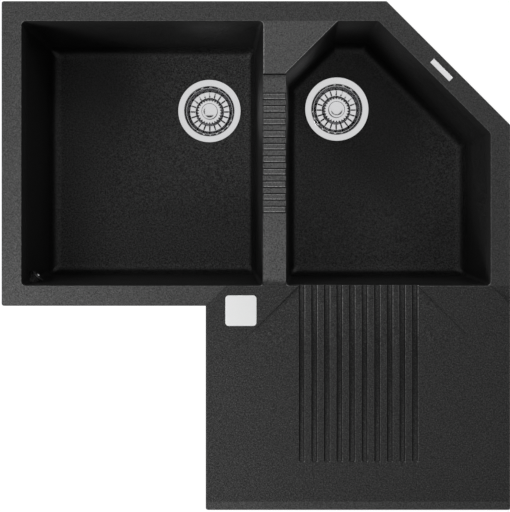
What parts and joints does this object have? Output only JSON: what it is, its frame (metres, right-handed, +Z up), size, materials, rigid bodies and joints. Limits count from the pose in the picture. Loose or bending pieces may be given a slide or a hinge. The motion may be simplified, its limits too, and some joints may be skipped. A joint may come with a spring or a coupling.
{
  "type": "corner kitchen sink",
  "caption": "L-shaped inset corner kitchen sink in black granite composite, with a main and a small bowl, ribbed divider, grooved drainer and basket wastes that lift out.",
  "frame": {"origin": "on the rim's underside, which rests on the worktop, on the divider's centre line and 18 mm in from the rear edge", "axes": "+Z up, +X to the right, +Y to the rear wall, seen from the user's place"},
  "size_m": [0.83, 0.83, 0.2869],
  "materials": {
    "granite": "matt speckled composite",
    "polished_steel": "mirror polished stainless steel",
    "plain_steel": "plain stainless steel",
    "plastic": "black moulded",
    "rubber": "smooth black",
    "foam": "closed-cell sealing strip",
    "label": "satin white"
  },
  "bodies": {
    "root": {"sink_body": "granite", "rim_seal": "foam", "main_waste_flange": "polished_steel", "main_flange_seal": "rubber", "main_under_seal": "rubber", "main_waste_housing": "plastic", "main_fixing_screw": "plain_steel", "small_waste_flange": "polished_steel", "small_flange_seal": "rubber", "small_under_seal": "rubber", "small_waste_housing": "plastic", "small_fixing_screw": "plain_steel", "overflow_cover": "plastic", "overflow_screw": "plain_steel", "overflow_seal": "rubber", "overflow_elbow": "plastic", "corner_label": "label", "rim_plate": "plain_steel", "clip_screw_1": "plain_steel", "clip_screw_2": "plain_steel", "clip_screw_3": "plain_steel", "clip_screw_4": "plain_steel", "clip_screw_5": "plain_steel", "clip_screw_6": "plain_steel", "clip_screw_7": "plain_steel", "clip_screw_8": "plain_steel"},
    "main_stopper": {"main_basket_stopper": "rubber"},
    "main_basket": {"main_strainer_basket": "polished_steel", "main_basket_cap": "polished_steel", "main_basket_knob": "polished_steel"},
    "small_stopper": {"small_basket_stopper": "rubber"},
    "small_basket": {"small_strainer_basket": "polished_steel", "small_basket_cap": "polished_steel", "small_basket_knob": "polished_steel"},
    "clip_1": {"worktop_clip_1": "plain_steel"},
    "clip_2": {"worktop_clip_2": "plain_steel"},
    "clip_3": {"worktop_clip_3": "plain_steel"},
    "clip_4": {"worktop_clip_4": "plain_steel"},
    "clip_5": {"worktop_clip_5": "plain_steel"},
    "clip_6": {"worktop_clip_6": "plain_steel"},
    "clip_7": {"worktop_clip_7": "plain_steel"},
    "clip_8": {"worktop_clip_8": "plain_steel"}
  },
  "joints": [
    {"name": "main_basket_lift", "type": "slide", "parent": "root", "child": "main_stopper", "axis": [0, 0, 1], "range_m": [0, 0.25]},
    {"name": "main_basket_turn", "type": "hinge", "parent": "main_stopper", "child": "main_basket", "pos_m": [-0.114, -0.1385, -0.2], "axis": [0, 0, 1], "continuous": true},
    {"name": "small_basket_lift", "type": "slide", "parent": "root", "child": "small_stopper", "axis": [0, 0, 1], "range_m": [0, 0.22]},
    {"name": "small_basket_turn", "type": "hinge", "parent": "small_stopper", "child": "small_basket", "pos_m": [0.114, -0.1385, -0.2], "axis": [0, 0, 1], "continuous": true},
    {"name": "clip_1_swing", "type": "hinge", "parent": "root", "child": "clip_1", "pos_m": [-0.4245, -0.20565, -0.025], "axis": [0, 0, 1], "range_deg": [0, 90]},
    {"name": "clip_2_swing", "type": "hinge", "parent": "root", "child": "clip_2", "pos_m": [-0.24404, -0.0025, -0.025], "axis": [0, 0, 1], "range_deg": [0, 90]},
    {"name": "clip_3_swing", "type": "hinge", "parent": "root", "child": "clip_3", "pos_m": [0.2695, -0.0975, -0.025], "axis": [0, 0, 1], "range_deg": [0, 90]},
    {"name": "clip_4_swing", "type": "hinge", "parent": "root", "child": "clip_4", "pos_m": [0.3645, -0.341, -0.025], "axis": [0, 0, 1], "range_deg": [0, 90]},
    {"name": "clip_5_swing", "type": "hinge", "parent": "root", "child": "clip_5", "pos_m": [0.3645, -0.6864, -0.025], "axis": [0, 0, 1], "range_deg": [0, 90]},
    {"name": "clip_6_swing", "type": "hinge", "parent": "root", "child": "clip_6", "pos_m": [0.1365, -0.7915, -0.025], "axis": [0, 0, 1], "range_deg": [0, 90]},
    {"name": "clip_7_swing", "type": "hinge", "parent": "root", "child": "clip_7", "pos_m": [-0.0915, -0.6788, -0.025], "axis": [0, 0, 1], "range_deg": [0, 90]},
    {"name": "clip_8_swing", "type": "hinge", "parent": "root", "child": "clip_8", "pos_m": [-0.26185, -0.4585, -0.025], "axis": [0, 0, 1], "range_deg": [0, 90]}
  ]
}
